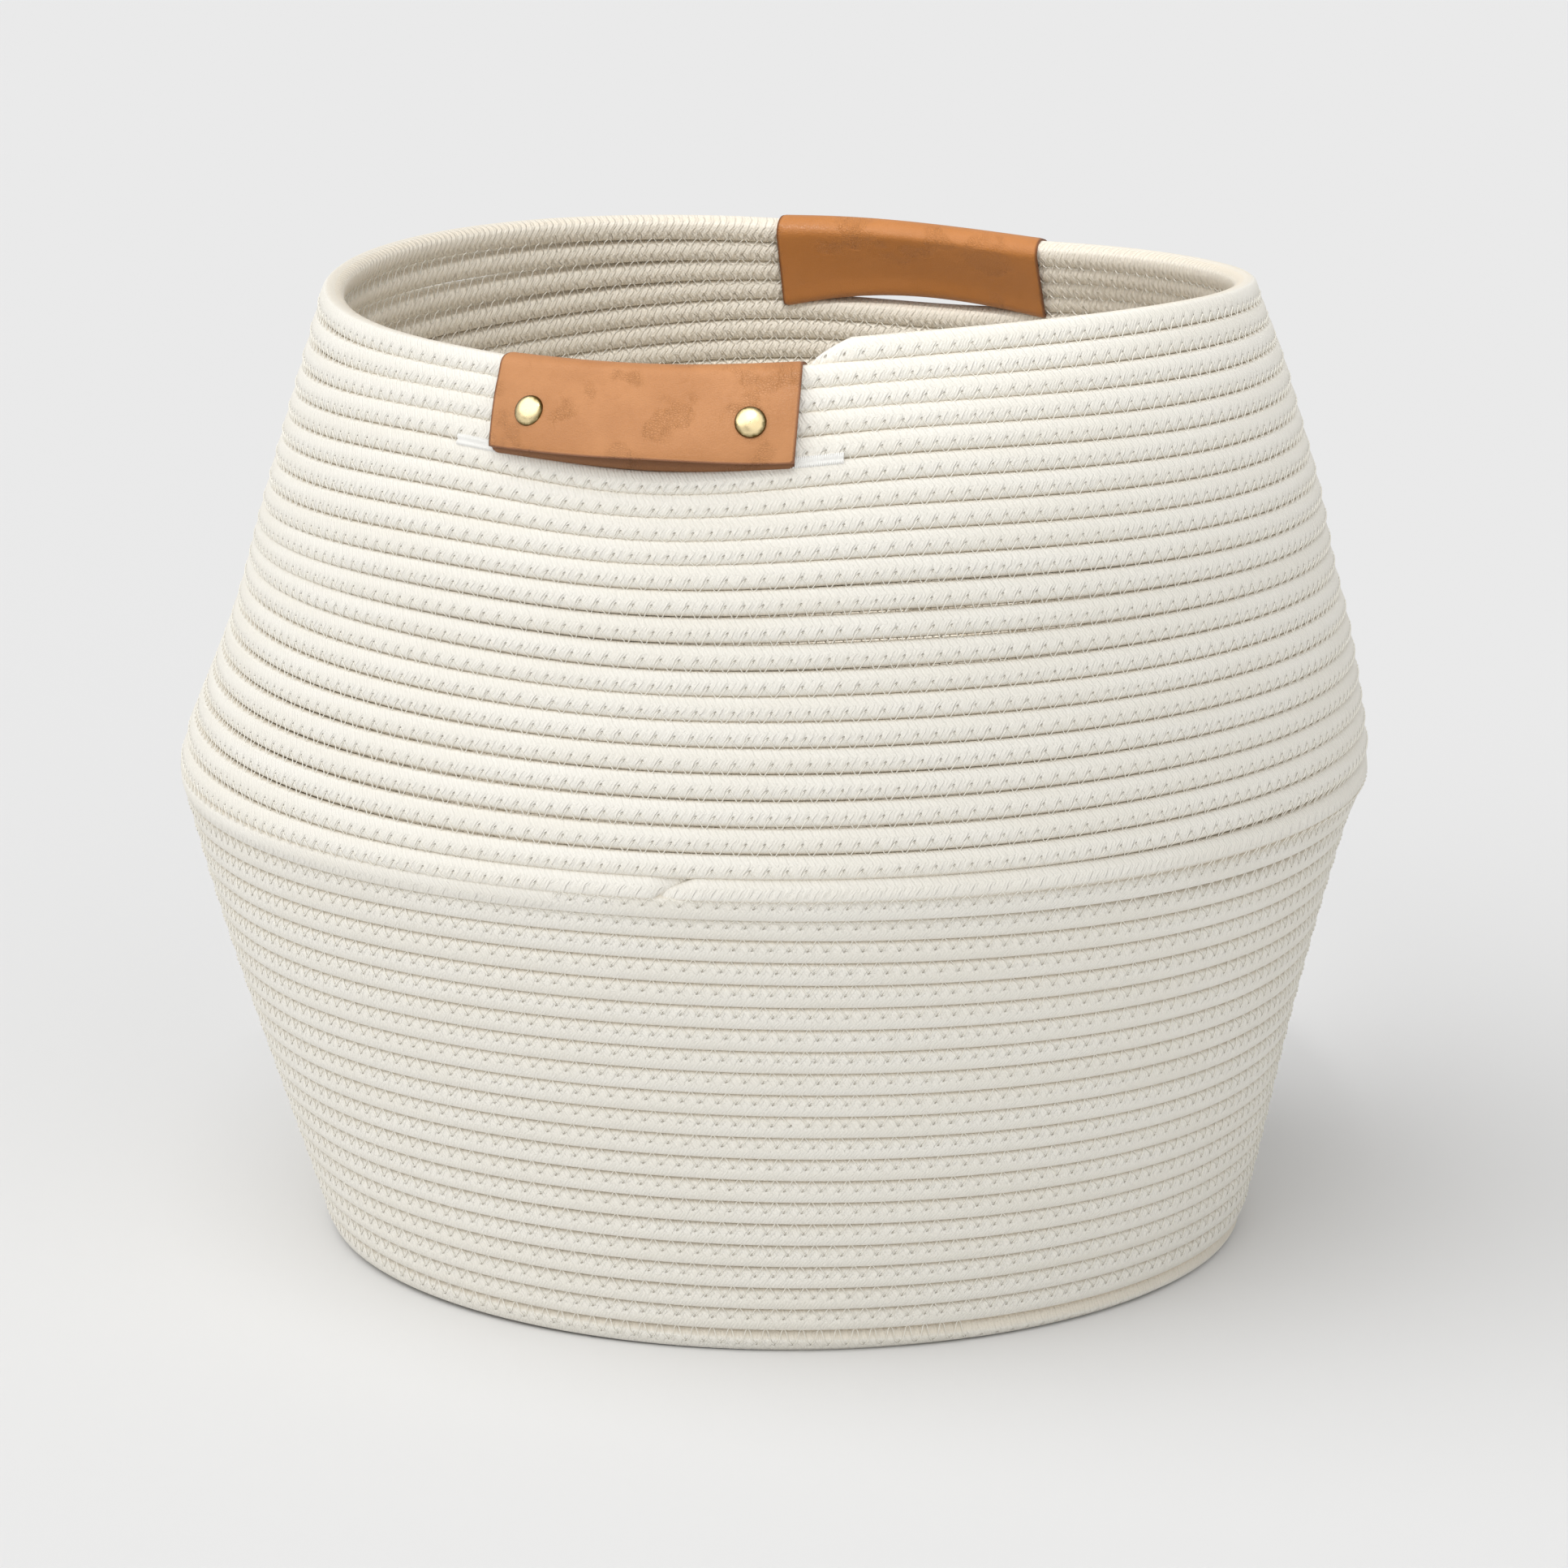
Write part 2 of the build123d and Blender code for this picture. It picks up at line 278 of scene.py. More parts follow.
# ------------------------------------------------------------------ meshes
def make_mesh(name, points, faces, material, facts=None):
    mesh = bpy.data.meshes.new(name)
    points = np.ascontiguousarray(points, np.float32).reshape(-1, 3) * MM
    faces = np.ascontiguousarray(faces, np.int32)
    count, corners = faces.shape
    mesh.vertices.add(len(points))
    mesh.vertices.foreach_set("co", points.ravel())
    mesh.loops.add(count * corners)
    mesh.loops.foreach_set("vertex_index", faces.ravel())
    mesh.polygons.add(count)
    mesh.polygons.foreach_set("loop_start", np.arange(0, count * corners, corners, dtype=np.int32))
    mesh.polygons.foreach_set("use_smooth", np.full(count, True))
    for fact, values in (facts or {}).items():
        values = np.asarray(values, np.float32)
        if values.ndim == 1:
            mesh.attributes.new(fact, "FLOAT", "POINT").data.foreach_set("value", values)
        else:
            made = mesh.attributes.new(fact, "FLOAT_VECTOR", "POINT")
            made.data.foreach_set("vector", np.ascontiguousarray(values).ravel())
    mesh.update(calc_edges=True)
    mesh.validate()
    mesh.materials.append(material)
    made = bpy.data.objects.new(name, mesh)
    bpy.context.scene.collection.objects.link(made)
    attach(made, "root")
    return made


def grid_faces(rows, columns, closed=True):
    """Quads over a grid of points; closed joins the last column to the first."""
    row = np.arange(rows - 1)[:, None] * columns
    column = np.arange(columns if closed else columns - 1)[None, :]
    after = (column + 1) % columns
    corners = (row + column, row + after, row + columns + after, row + columns + column)
    return np.stack([c.ravel() for c in corners], -1)


def tubes(lines, way_out, radius, sides=3):
    """Open tubes along many short lines of equal point count; returns points and faces."""
    run = unit(np.gradient(lines, axis=1))
    across = unit(np.cross(run, way_out))
    over = np.cross(across, run)
    turn = np.arange(sides) * TURN / sides + math.pi / 2
    ring = across[:, :, None, :] * np.cos(turn)[:, None] + over[:, :, None, :] * np.sin(turn)[:, None]
    points = lines[:, :, None, :] + radius * ring
    faces = grid_faces(lines.shape[1], sides)
    offset = np.arange(len(lines))[:, None, None] * lines.shape[1] * sides
    return points.reshape(-1, 3), (faces[None] + offset).reshape(-1, 4)


# ------------------------------------------------------------------ the sleeve's section
def sleeve_line():
    """The sleeve's middle line, from its hidden end to its flap.

    Its points are (out from the grooves, up from the slot).
    """
    outer, inner = 2.3, -7.9
    low, high = -1.3, GRIP_ROWS * PITCH + 1.0
    line = [(outer, 22.0), (outer, 15.0), (outer, 8.0), (outer, 2.0)]
    line += [(outer - 1.8 * (1 - math.cos(t)), 1.0 - 2.3 * math.sin(t)) for t in (0.5, 1.0, 1.57)]
    line += [(-2.8, low)]
    line += [(inner + 1.8 * (1 - math.sin(t)), 1.0 - 2.3 * math.cos(t)) for t in (0.0, 0.55, 1.1, 1.57)]
    line += [(inner, y) for y in (6.0, 11.0, 16.0, 21.0, 26.0)]
    middle = (3.3 + inner) / 2
    half = (3.3 - inner) / 2
    line += [
        (middle - half * math.cos(t), 28.5 + (high - 28.5) * math.sin(t))
        for t in np.linspace(0.15, math.pi - 0.15, 11)
    ]
    line += [(3.5, 25.0), (3.9, 21.0), (4.15, 17.0), (4.2, 13.0), (4.2, 9.0), (4.2, 5.0), (4.2, -0.6)]
    return np.array(line)


def resampled(line, count):
    run = np.concatenate([[0], np.cumsum(np.linalg.norm(np.diff(line, axis=0), axis=1))])
    at = np.linspace(0, run[-1], count)
    return np.stack([np.interp(at, run, line[:, i]) for i in range(2)], -1), at


SLEEVE_ROWS = 96
SLEEVE_COLUMNS = 70
middle_line, sleeve_run = resampled(sleeve_line(), SLEEVE_ROWS)
SLEEVE_FLAT = sleeve_run[-1]


# ------------------------------------------------------------------ shaders
class Shader:
    """A material's nodes; each input is given as a socket or a constant."""

    def __init__(self, name, **surface):
        self.material = bpy.data.materials.new(name)
        self.material.use_nodes = True
        self.nodes = self.material.node_tree.nodes
        self.links = self.material.node_tree.links
        self.surface = self.nodes["Principled BSDF"]
        for key, value in surface.items():
            self.feed(self.surface.inputs[key.replace("_", " ")], value)

    def feed(self, socket, value):
        if isinstance(value, bpy.types.NodeSocket):
            self.links.new(value, socket)
        else:
            socket.default_value = value

    def math(self, operation, *values):
        made = self.nodes.new("ShaderNodeMath")
        made.operation = operation
        for socket, value in zip(made.inputs, values):
            self.feed(socket, value)
        return made.outputs[0]

    def fact(self, name):
        made = self.nodes.new("ShaderNodeAttribute")
        made.attribute_name = name
        return made.outputs["Vector"]

    def parts(self, vector):
        made = self.nodes.new("ShaderNodeSeparateXYZ")
        self.feed(made.inputs[0], vector)
        return made.outputs[0], made.outputs[1], made.outputs[2]

    def scaled(self, vector, x, y, z):
        made = self.nodes.new("ShaderNodeVectorMath")
        made.operation = "MULTIPLY"
        self.feed(made.inputs[0], vector)
        made.inputs[1].default_value = (x, y, z)
        return made.outputs[0]

    def noise(self, vector, scale, detail=2.0, roughness=0.5):
        made = self.nodes.new("ShaderNodeTexNoise")
        self.feed(made.inputs["Vector"], vector)
        made.inputs["Scale"].default_value = scale
        made.inputs["Detail"].default_value = detail
        made.inputs["Roughness"].default_value = roughness
        return made.outputs[0]

    def ramp(self, value, low, high, at_low=0.0, at_high=1.0):
        made = self.nodes.new("ShaderNodeMapRange")
        made.interpolation_type = "SMOOTHSTEP"
        for socket, number in zip(made.inputs, (value, low, high, at_low, at_high)):
            self.feed(socket, number)
        return made.outputs[0]

    def mix(self, share, first, second):
        made = self.nodes.new("ShaderNodeMix")
        made.data_type = "RGBA"
        self.feed(made.inputs[0], share)
        self.feed(made.inputs[6], (*first, 1) if isinstance(first, tuple) else first)
        self.feed(made.inputs[7], (*second, 1) if isinstance(second, tuple) else second)
        return made.outputs[2]

    def bump(self, height):
        """Raises the surface by height, in millimetres."""
        made = self.nodes.new("ShaderNodeBump")
        made.inputs["Strength"].default_value = 1.0
        made.inputs["Distance"].default_value = MM
        self.feed(made.inputs["Height"], height)
        self.feed(self.surface.inputs["Normal"], made.outputs[0])

    def wave(self, *terms):
        """sin of a whole turn for each unit of the sum."""
        total = terms[0]
        for term in terms[1:]:
            total = self.math("ADD", total, term)
        return self.math("SINE", self.math("MULTIPLY", total, TURN))


def rope_material():
    made = Shader("cotton_rope", Roughness=0.95)
    made.surface.inputs["Specular IOR Level"].default_value = 0.12
    made.surface.inputs["Sheen Weight"].default_value = 0.12
    made.surface.inputs["Sheen Roughness"].default_value = 0.6
    rope = made.fact("rope")
    along, up, out = made.parts(rope)
    below, above, lower = made.parts(made.fact("stitches"))
    inside = made.ramp(out, 0.5, -0.5)
    wobble = made.noise(made.scaled(rope, 0.25, 0.5, 0.5), 1.0)
    slant = made.math("MULTIPLY", made.math("ABSOLUTE", up), 0.5)
    ply = made.wave(made.math("DIVIDE", along, 1.15), slant, wobble)
    lump = made.wave(
        made.math("MULTIPLY", below, 2.0),
        made.math("MULTIPLY", up, 0.13),
        made.math("MULTIPLY", wobble, 0.5),
    )
    fuzz = made.noise(made.scaled(rope, 1.0, 1.6, 1.6), 1.6, 4.0, 0.7)
    tone = made.noise(made.scaled(rope, 0.02, 0.15, 0.15), 1.0, 3.0)
    # needle holes: above each groove on the upper wall, below it on the lower one
    under_row = made.math("GREATER_THAN", lower, 0.75)
    stitch = made.mix(under_row, below, above)
    from_hole = made.math("SUBTRACT", made.math("FRACT", stitch), 0.5)
    from_hole = made.math("MULTIPLY", from_hole, STITCH)
    hole_up = made.math("MULTIPLY_ADD", under_row, HOLE_HIGH - HOLE_LOW, HOLE_LOW)
    across = made.math("SUBTRACT", up, hole_up)
    slanted = made.math("MULTIPLY_ADD", across, -0.6, from_hole)
    fold_place = made.math("MULTIPLY_ADD", made.math("DIVIDE", slanted, STITCH), 2.0, 0.5)
    fold_place = made.math("ADD", fold_place, made.math("MULTIPLY", wobble, 0.5))
    reach = made.math(
        "SQRT",
        made.math(
            "ADD",
            made.math("MULTIPLY", made.math("MULTIPLY", slanted, slanted), 1.6),
            made.math("MULTIPLY", made.math("MULTIPLY", across, across), 0.8),
        ),
    )
    hole = made.ramp(reach, 0.62, 0.2)
    hole = made.math("MULTIPLY", hole, made.ramp(out, -0.5, 0.5, 0.35, 1.0))
    sided = made.ramp(made.math("ABSOLUTE", made.math("SUBTRACT", lower, 0.5)), 0.46, 0.5)
    hole = made.math("MULTIPLY", hole, sided)
    pull = made.ramp(reach, 1.9, 0.2)
    fold = made.math("ABSOLUTE", made.math("SUBTRACT", made.math("FRACT", fold_place), 0.5))
    fold = made.ramp(fold, 0.16, 0.0)
    fold = made.math("MULTIPLY", fold, made.ramp(made.math("ABSOLUTE", across), 3.2, 0.4))
    fold = made.math("MULTIPLY", fold, made.ramp(tone, 0.3, 0.6, 0.25, 1.0))
    height = made.math("MULTIPLY", ply, 0.07)
    height = made.math("MULTIPLY_ADD", fuzz, 0.28, height)
    lump_depth = made.ramp(inside, 0, 1, 0.09, 0.22)
    height = made.math("ADD", made.math("MULTIPLY", lump, lump_depth), height)
    height = made.math("MULTIPLY_ADD", pull, -0.35, height)
    height = made.math("MULTIPLY_ADD", hole, -0.5, height)
    height = made.math("MULTIPLY_ADD", fold, -0.22, height)
    made.bump(height)
    colour = made.mix(made.ramp(tone, 0.3, 0.7), (0.93, 0.895, 0.81), (0.955, 0.925, 0.85))
    # painted light: the rope's inner face is painted brighter and warmer than its outer face, standing
    # in for the light inside the basket
    colour = made.mix(inside, colour, (0.97, 0.905, 0.79))
    # painted shade in the troughs between the rope's strands
    colour = made.mix(made.ramp(ply, -1.0, -0.2, 0.12, 0.0), colour, (0.70, 0.62, 0.48))
    # painted shade along the groove where each row of rope meets the next
    groove_shade = made.ramp(made.math("ABSOLUTE", up), 3.1, 3.95)
    colour = made.mix(made.math("MULTIPLY", groove_shade, 0.4), colour, (0.72, 0.62, 0.47))
    # painted shade in the needle holes
    shade = made.math("MULTIPLY", hole, made.ramp(fuzz, 0.35, 0.65, 0.35, 0.85))
    colour = made.mix(shade, colour, (0.33, 0.27, 0.18))
    made.feed(made.surface.inputs["Base Color"], colour)
    return made.material


def thread_material(name, colour, dark):
    made = Shader(name, Roughness=0.6)
    made.surface.inputs["Specular IOR Level"].default_value = 0.3
    place = made.nodes.new("ShaderNodeTexCoord").outputs["Object"]
    made.feed(
        made.surface.inputs["Base Color"], made.mix(made.noise(place, 300.0), colour, dark)
    )
    return made.material


def leather_material():
    made = Shader("tan_leather", Roughness=0.42)
    made.surface.inputs["Specular IOR Level"].default_value = 0.42
    place = made.fact("leather")
    across, run, edge = made.parts(place)
    flat = made.scaled(place, 1.0, 1.0, 0.0)
    patches = made.noise(flat, 0.045, 3.0)
    grain_cell = made.nodes.new("ShaderNodeTexVoronoi")
    grain_cell.feature = "DISTANCE_TO_EDGE"
    made.feed(grain_cell.inputs["Vector"], made.scaled(flat, 1.0, 1.25, 1.0))
    grain_cell.inputs["Scale"].default_value = 1.15
    grain = made.ramp(grain_cell.outputs[0], 0.0, 0.16)
    wrinkle = made.noise(made.scaled(flat, 0.10, 0.045, 1.0), 1.0, 6.0, 0.62)
    wrinkle = made.math("ABSOLUTE", made.math("SUBTRACT", wrinkle, 0.5))
    wrinkle = made.ramp(wrinkle, 0.0, 0.022)
    clusters = made.ramp(made.noise(flat, 0.06, 2.0), 0.5, 0.62)
    height = made.math("MULTIPLY", grain, made.ramp(clusters, 0, 1, 0.045, 0.11))
    wrinkle_depth = made.ramp(clusters, 0, 1, 0.02, 0.11)
    height = made.math("ADD", made.math("MULTIPLY", wrinkle, wrinkle_depth), height)
    made.bump(height)
    colour = made.mix(made.ramp(patches, 0.35, 0.65), (0.50, 0.215, 0.075), (0.56, 0.25, 0.095))
    # painted shade in the creases of the wrinkles
    colour = made.mix(
        made.math("MULTIPLY", made.ramp(wrinkle, 0.6, 0.0), 0.06), colour, (0.36, 0.13, 0.035)
    )
    # painted light: the same leather is painted a deeper orange away from the flap, on the fold and the
    # inner face, standing in for how these are lit
    painted_light_off_flap = made.ramp(run, SLEEVE_FLAT - 30.0, SLEEVE_FLAT - 38.0)
    colour = made.mix(made.math("MULTIPLY", painted_light_off_flap, 0.7), colour, (0.48, 0.175, 0.034))
    # painted shadow: the sleeve's end under the flap, where it turns through the slot, is painted dark
    # brown for the flap's shadow on it
    hidden = made.ramp(run, 34.0, 27.0, 0.0, 0.8)
    colour = made.mix(hidden, colour, (0.17, 0.07, 0.025))
    colour = made.mix(made.ramp(edge, 0.2, 0.9, 0.0, 0.8), colour, (0.16, 0.055, 0.02))
    made.feed(made.surface.inputs["Base Color"], colour)
    made.feed(made.surface.inputs["Roughness"], made.ramp(patches, 0.3, 0.7, 0.38, 0.5))
    return made.material


def brass_material():
    made = Shader("antique_brass", Metallic=1.0)
    rim, _, _ = made.parts(made.fact("cap"))
    place = made.nodes.new("ShaderNodeTexCoord").outputs["Object"]
    tarnish = made.noise(place, 700.0, 4.0)
    worn = made.ramp(made.math("MULTIPLY_ADD", tarnish, 0.25, rim), 0.8, 1.1)
    colour = made.mix(worn, (0.98, 0.80, 0.46), (0.11, 0.075, 0.015))
    made.feed(made.surface.inputs["Base Color"], colour)
    made.feed(made.surface.inputs["Roughness"], made.ramp(tarnish, 0.3, 0.7, 0.22, 0.34))
    return made.material


ROPE = rope_material()
THREAD = thread_material("cream_thread", (0.97, 0.95, 0.88), (0.93, 0.89, 0.79))
TACK_THREAD = thread_material("white_thread", (0.93, 0.925, 0.90), (0.86, 0.85, 0.81))
LEATHER_LOOK = leather_material()
BRASS = brass_material()


# ------------------------------------------------------------------ rope
wall_turns = (TOP_ROW - WALL_BOTTOM) / PITCH
last_wind = HELIX_START + (wall_turns + BASE_TURNS) * TURN


def reach_at(wind):
    """The rope's distance from the basket's middle, for spacing rings and stitches."""
    point = rope_point(wind)
    return np.hypot(point[..., 0], point[..., 1])


coarse = np.linspace(RIM_TIP - TURN, last_wind, 4000)
reach = reach_at(coarse)
run_length = np.concatenate([[0], np.cumsum(0.5 * np.diff(coarse) * (reach[1:] + reach[:-1]))])


def run_at(wind):
    return np.interp(wind, coarse, run_length)


def wind_at(run):
    return np.interp(run, run_length, coarse)


def tapered(run, start, end, starts_low, ends_low):
    """The rope's fullness along a piece, and how far its thinned ends are shifted along the wall."""
    full = np.ones_like(run)
    shift = np.zeros_like(run)
    for distance, low in ((run - start, starts_low), (end - run, ends_low)):
        if low is None:
            continue
        share = np.clip(distance / SPLICE_LENGTH, 0, 1)
        size = 0.1 + 0.9 * (share**0.7 if low else 1 - (1 - share) ** 0.7)
        full = np.minimum(full, size)
        shift = shift + (1 - size) * (-4.0 if low else 4.0)
    return full, shift


def rope_piece(name, first, last, length_start, length_end, starts_low, ends_low):
    """One stretch of rope between two winding angles, as a closed-section tube."""
    count = max(8, int((run_at(last) - run_at(first)) / ROPE_STEP))
    run = np.linspace(run_at(first), run_at(last), count)
    wind = wind_at(run)
    full, shift = tapered(run, length_start, length_end, starts_low, ends_low)
    turn = np.arange(ROPE_SIDES) * TURN / ROPE_SIDES + 0.5 * TURN / ROPE_SIDES
    power = 2 / ROPE_SQUARENESS
    up = ROPE_HALF_HEIGHT * np.sign(np.cos(turn)) * np.abs(np.cos(turn)) ** power
    out = ROPE_HALF_DEPTH * np.sign(np.sin(turn)) * np.abs(np.sin(turn)) ** power
    up = up[None, :] * full[:, None] + shift[:, None]
    out = out[None, :] * full[:, None]
    points = rope_point(np.repeat(wind[:, None], ROPE_SIDES, 1), up, out)
    points[..., 2] = np.maximum(points[..., 2], 0.0)
    hole_side = 0.5 * (wind > SEAM_CHANGE) + 0.5 * (wind > SEAM_CHANGE + TURN)
    facts = {
        "rope": np.stack([np.repeat(run[:, None], ROPE_SIDES, 1), up, out], -1).reshape(-1, 3),
        "stitches": np.stack(
            [
                np.repeat((run / STITCH)[:, None], ROPE_SIDES, 1),
                np.repeat((run_at(wind - TURN) / STITCH)[:, None], ROPE_SIDES, 1),
                np.repeat(hole_side[:, None], ROPE_SIDES, 1),
            ],
            -1,
        ).reshape(-1, 3),
    }
    return make_mesh(name, points, grid_faces(count, ROPE_SIDES), ROPE, facts)


def rope_length(name, first, last, turns_each, starts_low, ends_low):
    """A whole length of rope, made in stretches that meet end to end."""
    pieces = max(1, round((last - first) / TURN / turns_each))
    cuts = np.linspace(first, last, pieces + 1)
    return [
        rope_piece(
            f"{name}_{i + 1:02d}", a, b, run_at(first), run_at(last), starts_low, ends_low
        )
        for i, (a, b) in enumerate(zip(cuts[:-1], cuts[1:]))
    ]


splice_half = SPLICE_LENGTH / 2 / BELLY_RADIUS
upper_rope = rope_length("upper_rope", RIM_TIP, BELLY_SPLICE + splice_half, 2, True, False)
base_start = HELIX_START + wall_turns * TURN
lower_rope = rope_length("lower_rope", BELLY_SPLICE - splice_half, base_start, 2, True, None)
base_rope = rope_length("base_rope", base_start, last_wind, 6, None, None)
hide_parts("rim_coil", "upper_wall_coil")
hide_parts("lower_wall_coil")
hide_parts("base_coil")


# ------------------------------------------------------------------ stitching
def in_slot(wind):
    """True where the groove under the rope at that winding is one of the slots."""
    found = np.zeros(np.shape(wind), bool)
    for grip in GRIPS.values():
        near = np.abs(turned_from(wind, grip["angle"])) * GRIP_REACH < SLOT_HALF
        groove = row_height(wind) - PITCH / 2
        found |= near & (np.abs(groove - slot_line(grip, wind)) < PITCH / 2)
    return found


def in_grip(wind, up):
    """True where the thread is under a leather sleeve, so that it isn't seen."""
    found = np.zeros(np.shape(wind), bool)
    for grip in GRIPS.values():
        near = np.abs(turned_from(wind, grip["angle"])) * GRIP_REACH < GRIP_LENGTH / 2 - 6
        found |= near & (row_height(wind) + up > slot_line(grip, wind))
    return found


def zigzag(first, last, offsets, depths, inside):
    """Thread legs between needle holes on one side of the wall, for the grooves under a stretch of rope.

    offsets are the leg's points from the hole's end to the other, up the wall from the groove.
    """
    half = np.arange(math.ceil(2 * run_at(first) / STITCH), math.floor(2 * run_at(last) / STITCH))
    start = wind_at(half * STITCH / 2)
    end = wind_at((half + 1) * STITCH / 2)
    keep = ~(in_slot(start) | in_grip(start, -PITCH / 2))
    half, start, end = half[keep], start[keep], end[keep]
    from_hole = half % 2 == 1
    offsets = np.asarray(offsets)
    share = (offsets - offsets[0]) / (offsets[-1] - offsets[0])
    share = np.where(from_hole[:, None], share, 1 - share[::-1])
    up = np.where(from_hole[:, None], offsets, offsets[::-1])
    depth = np.where(from_hole[:, None], depths, np.asarray(depths)[::-1])
    wind = start[:, None] + (end - start)[:, None] * share
    over = up >= 0
    own = np.where(over, wind, wind + TURN)
    rise = np.where(over, up - PITCH / 2, up + PITCH / 2)
    side = -1.0 if inside else 1.0
    points = rope_point(own, rise, side * depth)
    away = unit(rope_point(own, rise, side * (depth + 1.0)) - points)
    return points, away


UPPER_LEG = ([2.8, 2.1, 0.9, -0.2, -1.1], [3.5, 4.12, 3.65, 3.35, 2.9])
LOWER_LEG = ([-2.6, -2.0, -0.9, 0.2, 1.1], [3.5, 4.12, 3.65, 3.35, 2.9])
INNER_LEG = ([1.9, 1.0, 0.0, -1.0, -1.9], [3.4, 3.75, 3.45, 3.75, 3.4])


def seam(name, first, last, outer_leg):
    parts = [zigzag(first, last, *INNER_LEG, True)]
    if outer_leg is not None:
        parts.append(zigzag(first, last, *outer_leg, False))
    lines = np.concatenate([p for p, _ in parts])
    away = np.concatenate([a for _, a in parts])
    points, faces = tubes(lines, away, THREAD_RADIUS)
    points[:, 2] = np.maximum(points[:, 2], 0.05)
    return make_mesh(name, points, faces, THREAD)


def seam_run(name, first, last, pieces, outer_leg):
    cuts = np.linspace(first, last, pieces + 1)
    return [
        seam(f"{name}_{i + 1}", a, b, outer_leg) for i, (a, b) in enumerate(zip(cuts[:-1], cuts[1:]))
    ]


upper_seam = seam_run("upper_stitching", RIM_TIP + 0.1, SEAM_CHANGE, 4, UPPER_LEG)
lower_seam = seam_run("lower_stitching", SEAM_CHANGE, base_start - TURN, 4, LOWER_LEG)
base_seam = seam_run("base_stitching", base_start - TURN, last_wind - TURN, 1, None)
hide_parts("rim_seam", "upper_wall_seam")
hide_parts("lower_wall_seam")
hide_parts("base_seam")


# ------------------------------------------------------------------ leather grips
def sleeve_point(grip, across, out, up):
    """A point by a grip.

    across runs to the right as seen from outside, out from the grooves, and up from the slot.
    """
    girth = BELLY_RADIUS + 3 - math.sin(UPPER_LEAN) * (grip["slot"] + up) + np.minimum(out, 0)
    angle = grip["angle"] + across / girth
    s = slot_line(grip, angle) + up
    hang = grip["hang"] * slot_lens(grip, angle) * smooth((7.0 - up) / 9.0) * (np.asarray(out) < 3.6)
    point, way_out = wall(s, angle, 0.0, slot_lift(grip, angle, np.maximum(up, 0)) - hang)
    return point + way_out * np.asarray(out)[..., None]


def flap_wave(across, up):
    """How far the loose lower part of the flap stands out, and how far its edge is drawn up."""
    loose = smooth((20.0 - up) / 20.0)
    middle = np.clip(1 - (across / (GRIP_LENGTH / 2)) ** 2, 0, 1)
    stand = 2.4 * middle**1.5 + 0.35 * np.sin(across / 7.0)
    drawn = -2.2 * middle + 0.25 * np.sin(across / 11.0 + 1)
    return loose * stand, loose * drawn


def make_sleeve(name, grip):
    across = np.linspace(-GRIP_LENGTH / 2, GRIP_LENGTH / 2, SLEEVE_COLUMNS)
    run = unit(np.gradient(middle_line, axis=0))
    normal = np.stack([run[:, 1], -run[:, 0]], -1)
    end = np.abs(np.abs(across) - GRIP_LENGTH / 2) < 0.01
    thin = np.where(end, 0.62, 1.0)
    tip = np.ones(SLEEVE_ROWS)
    tip[[0, -1]] = 0.62
    half = LEATHER / 2 * thin[:, None] * tip[None, :]
    on_flap = (sleeve_run > sleeve_run[-1] - 34)[None, :] * 1.0
    rings, facts = [], []
    for side in (1.0, -1.0):
        out = middle_line[None, :, 0] + side * half * normal[None, :, 0]
        up = middle_line[None, :, 1] + side * half * normal[None, :, 1]
        wide = np.broadcast_to(across[:, None], out.shape)
        stand, drawn = flap_wave(wide, up)
        out = out + on_flap * stand
        up = up + on_flap * drawn
        points = sleeve_point(grip, wide, out, up)
        edge = np.maximum(end[:, None] * 1.0, (tip < 1)[None, :] * 1.0) * np.ones_like(out)
        rings.append(points)
        flat = np.broadcast_to(sleeve_run[None, :], out.shape)
        facts.append(np.stack([wide + (3.0 if name == "front" else 170.0), flat, edge], -1))
    n = SLEEVE_COLUMNS * SLEEVE_ROWS
    points = np.concatenate([r.reshape(-1, 3) for r in rings])
    front = grid_faces(SLEEVE_COLUMNS, SLEEVE_ROWS, closed=False)
    back = front[:, ::-1] + n
    first = np.arange(SLEEVE_ROWS - 1)
    last = first + (SLEEVE_COLUMNS - 1) * SLEEVE_ROWS
    column = np.arange(SLEEVE_COLUMNS - 1) * SLEEVE_ROWS
    tail = column + SLEEVE_ROWS - 1
    borders = np.concatenate(
        [
            np.stack([first, first + 1, first + 1 + n, first + n], -1),
            np.stack([last + 1, last, last + n, last + 1 + n], -1),
            np.stack([column + SLEEVE_ROWS, column, column + n, column + SLEEVE_ROWS + n], -1),
            np.stack([tail, tail + SLEEVE_ROWS, tail + SLEEVE_ROWS + n, tail + n], -1),
        ]
    )
    made = make_mesh(
        f"{name}_sleeve",
        points,
        np.concatenate([front, back, borders]),
        LEATHER_LOOK,
        {"leather": np.concatenate([f.reshape(-1, 3) for f in facts])},
    )
    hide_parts(f"{name}_leather_sleeve")
    return made


CAP_RADIUS = 5.0
CAP_HEIGHT = 2.3
CAP_SEAT = 5.0  # out from the grooves to the flap's face
CAP_SIDES = 40


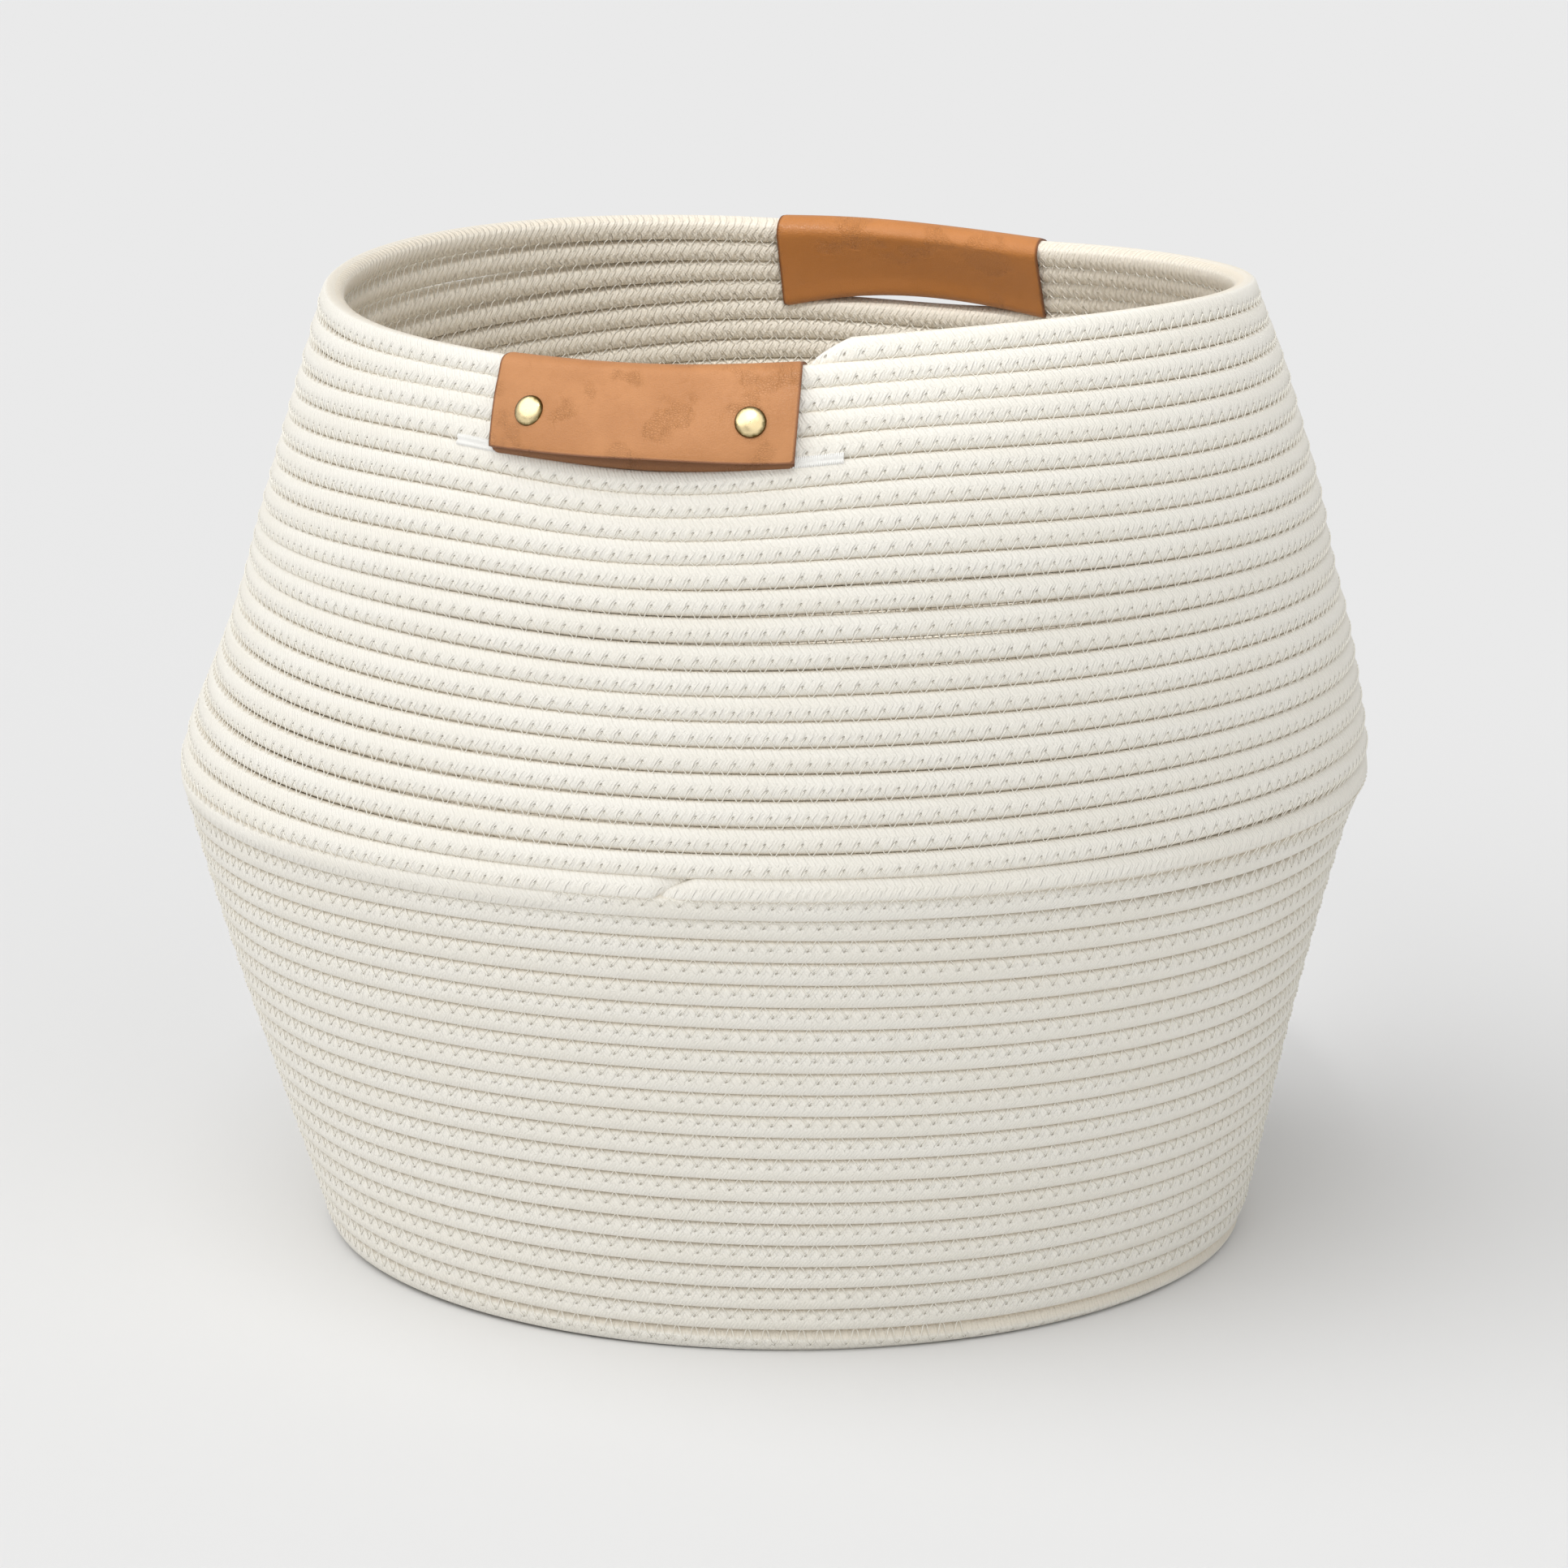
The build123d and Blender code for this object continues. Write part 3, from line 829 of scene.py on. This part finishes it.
def make_cap(name, grip, across):
    """A domed rivet cap on the flap."""
    seat = sleeve_point(grip, np.array(across), np.array(CAP_SEAT), np.array(RIVET_HEIGHT))
    above = sleeve_point(grip, np.array(across), np.array(CAP_SEAT), np.array(RIVET_HEIGHT + 1))
    front = sleeve_point(grip, np.array(across), np.array(CAP_SEAT + 1), np.array(RIVET_HEIGHT))
    out = unit(front - seat)
    rise = unit(above - seat)
    side = np.cross(rise, out)
    rings = [(1.0, -0.9), (1.0, 0.25), (0.985, 0.5)]
    rings += [(math.cos(t), 0.5 + (CAP_HEIGHT - 0.5) * math.sin(t)) for t in np.linspace(0.25, 1.45, 10)]
    rings += [(0.02, CAP_HEIGHT)]
    turn = np.arange(CAP_SIDES) * TURN / CAP_SIDES
    points, rims = [], []
    for reach, height in rings:
        circle = side * np.cos(turn)[:, None] + rise * np.sin(turn)[:, None]
        points.append(seat + CAP_RADIUS * reach * circle + out * height)
        rims.append(np.full((CAP_SIDES, 3), reach))
    made = make_mesh(
        f"{name}_cap",
        np.concatenate(points),
        grid_faces(len(rings), CAP_SIDES),
        BRASS,
        {"cap": np.concatenate(rims)},
    )
    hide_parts(f"{name}_rivet_cap", f"{name}_rivet_post")
    return made


def make_tack(name, grip, side):
    """A patch of dense white stitches beyond one end of a slot."""
    half = np.arange(48)
    across = side * (SLOT_HALF - 2.0 + np.stack([half, half + 1], -1) * 0.33)
    up = np.where(half[:, None] % 2 == 0, [-2.1, 2.1], [2.1, -2.1])
    share = np.linspace(0, 1, 7)
    across = across[:, :1] + (across[:, 1:] - across[:, :1]) * share
    up = up[:, :1] + (up[:, 1:] - up[:, :1]) * share
    out = 1.45 - 0.5 * (np.abs(up) < 0.5) - 1.2 * (np.abs(up) > 2.0)
    lines = sleeve_point(grip, across, out, up)
    away = unit(sleeve_point(grip, across, out + 1, up) - lines)
    points, faces = tubes(lines, away, 0.26, 4)
    made = make_mesh(f"{name}_tack", points, faces, TACK_THREAD)
    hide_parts(f"{name}_bar_tack")
    return made


for grip_name, grip in GRIPS.items():
    sleeve = make_sleeve(grip_name, grip)
    for hand, side in (("left", -1), ("right", 1)):
        make_cap(f"{grip_name}_{hand}", grip, side * RIVET_AT)
        make_tack(f"{grip_name}_{hand}", grip, side)


# ------------------------------------------------------------------ stage, light and camera
STAGE_TONE = 0.79


def stage_material():
    made = Shader("studio_floor", Roughness=1.0)
    made.surface.inputs["Specular IOR Level"].default_value = 0.0
    place = made.nodes.new("ShaderNodeTexCoord").outputs["Object"]
    tone = made.mix(
        made.noise(place, 0.4),
        (STAGE_TONE, STAGE_TONE, STAGE_TONE),
        (STAGE_TONE * 0.995, STAGE_TONE * 0.995, STAGE_TONE * 0.995),
    )
    made.feed(made.surface.inputs["Base Color"], tone)
    return made.material


bpy.ops.mesh.primitive_plane_add(size=60, location=(0, 10, 0))
floor = bpy.context.object
floor.name = "studio_floor"
floor.data.materials.append(stage_material())

world = bpy.data.worlds.new("studio")
bpy.context.scene.world = world
world.use_nodes = True
world.node_tree.nodes["Background"].inputs["Color"].default_value = (1.0, 1.0, 1.0, 1)
world.node_tree.nodes["Background"].inputs["Strength"].default_value = 0.53


def soft_sun(name, strength, spread, from_above, turn):
    """A broad, even light that leans from_above off the vertical and is turned about it."""
    light = bpy.data.lights.new(name, "SUN")
    light.energy = strength
    light.angle = math.radians(spread)
    made = bpy.data.objects.new(name, light)
    made.rotation_euler = (math.radians(from_above), 0, math.radians(turn))
    bpy.context.scene.collection.objects.link(made)


soft_sun("key", 1.66, 80, 36, -44)
soft_sun("front_fill", 0.48, 70, 56, 40)

# a soft beam over the front rim onto the far inner wall
beam = bpy.data.lights.new("inner_beam", "SPOT")
beam.energy = 88.0
beam.spot_size = math.radians(11.5)
beam.spot_blend = 1.0
beam.shadow_soft_size = 0.1
beam_object = bpy.data.objects.new("inner_beam", beam)
beam_object.location = (0.28, -0.82, 1.42)
beam_object.rotation_euler = (math.radians(38.5), 0, math.radians(17.5))
bpy.context.scene.collection.objects.link(beam_object)

VIEW_ANGLE = math.radians(16.6)
VIEW_DISTANCE = 1.9606
VIEW_HEIGHT = 0.6283
VIEW_DOWN = 0.239  # angle the camera looks down by
camera = bpy.data.cameras.new("camera")
camera.sensor_width = 36.0
camera.lens = 135.66
camera.clip_end = 100.0
camera_object = bpy.data.objects.new("camera", camera)
camera_object.location = (
    VIEW_DISTANCE * math.sin(VIEW_ANGLE),
    -VIEW_DISTANCE * math.cos(VIEW_ANGLE),
    VIEW_HEIGHT,
)
camera_object.rotation_euler = (math.pi / 2 - VIEW_DOWN, 0, VIEW_ANGLE)
bpy.context.scene.collection.objects.link(camera_object)
bpy.context.scene.camera = camera_object
bpy.context.scene.view_settings.view_transform = "Standard"
bpy.context.scene.view_settings.look = "None"
bpy.context.scene.view_settings.exposure = 0.0
bpy.context.scene.view_settings.gamma = 1.0
